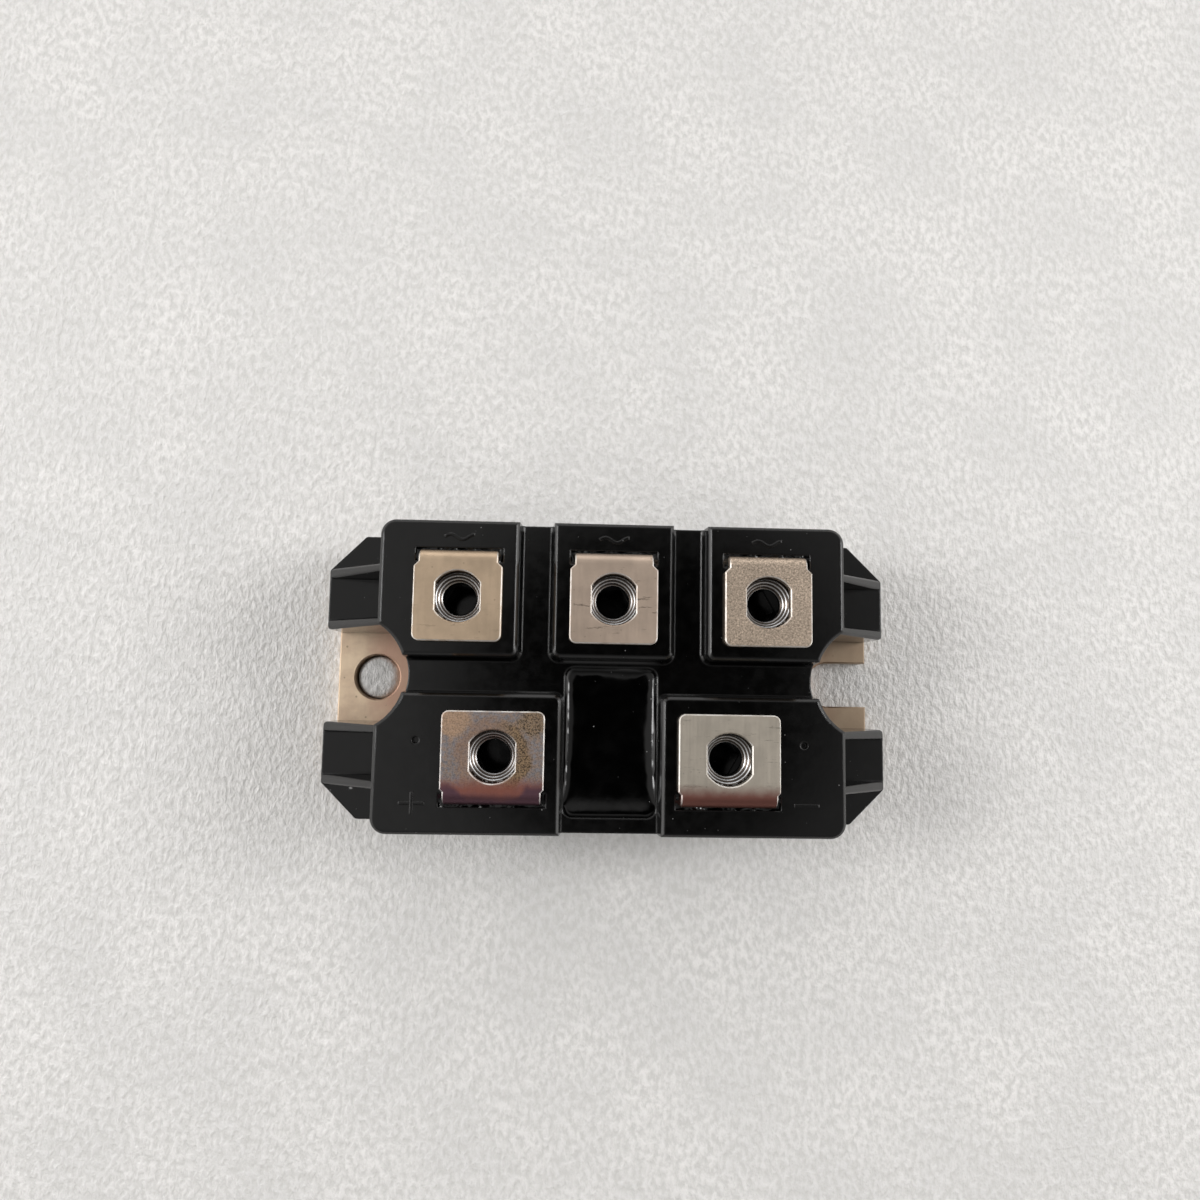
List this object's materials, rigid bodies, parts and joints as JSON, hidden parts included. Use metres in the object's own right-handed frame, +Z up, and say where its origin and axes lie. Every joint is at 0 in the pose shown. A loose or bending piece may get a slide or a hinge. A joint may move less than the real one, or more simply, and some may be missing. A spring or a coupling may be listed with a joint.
{
  "type": "three-phase bridge rectifier module",
  "caption": "Flat black power module with screw terminals on raised blocks, a metal base plate with a hole and a slot, and ribbed ears.",
  "frame": {"origin": "centre of the base plate's mounting face", "axes": "+X along the module towards the end with the open slot, +Y towards the row of three terminals, +Z up from the mounting face"},
  "size_m": [0.08, 0.04, 0.026],
  "materials": {
    "plate": "satin nickel plating over copper",
    "case": "satin moulded plastic",
    "resin": "glossy poured resin",
    "gel": "soft clear gel",
    "copper": "bare copper",
    "ceramic": "matt white ceramic",
    "chip": "dark diode chip",
    "terminal": "nickel-plated copper",
    "nut": "zinc-plated steel"
  },
  "bodies": {
    "root": {"base_plate": "plate", "housing": "case", "epoxy_potting": "resin", "silicone_gel": "gel", "substrate_copper": "copper", "ceramic_substrate": "ceramic", "plus_track": "copper", "minus_track": "copper", "minus_comb": "copper", "ac_track_1": "copper", "lower_diode_1": "chip", "upper_diode_1": "chip", "ac_clip_1": "copper", "ac_track_2": "copper", "lower_diode_2": "chip", "upper_diode_2": "chip", "ac_clip_2": "copper", "ac_track_3": "copper", "lower_diode_3": "chip", "upper_diode_3": "chip", "ac_clip_3": "copper", "ac_1_terminal": "terminal", "ac_1_nut": "nut", "ac_2_terminal": "terminal", "ac_2_nut": "nut", "ac_3_terminal": "terminal", "ac_3_nut": "nut", "plus_terminal": "terminal", "plus_nut": "nut", "minus_terminal": "terminal", "minus_nut": "nut"}
  },
  "joints": []
}
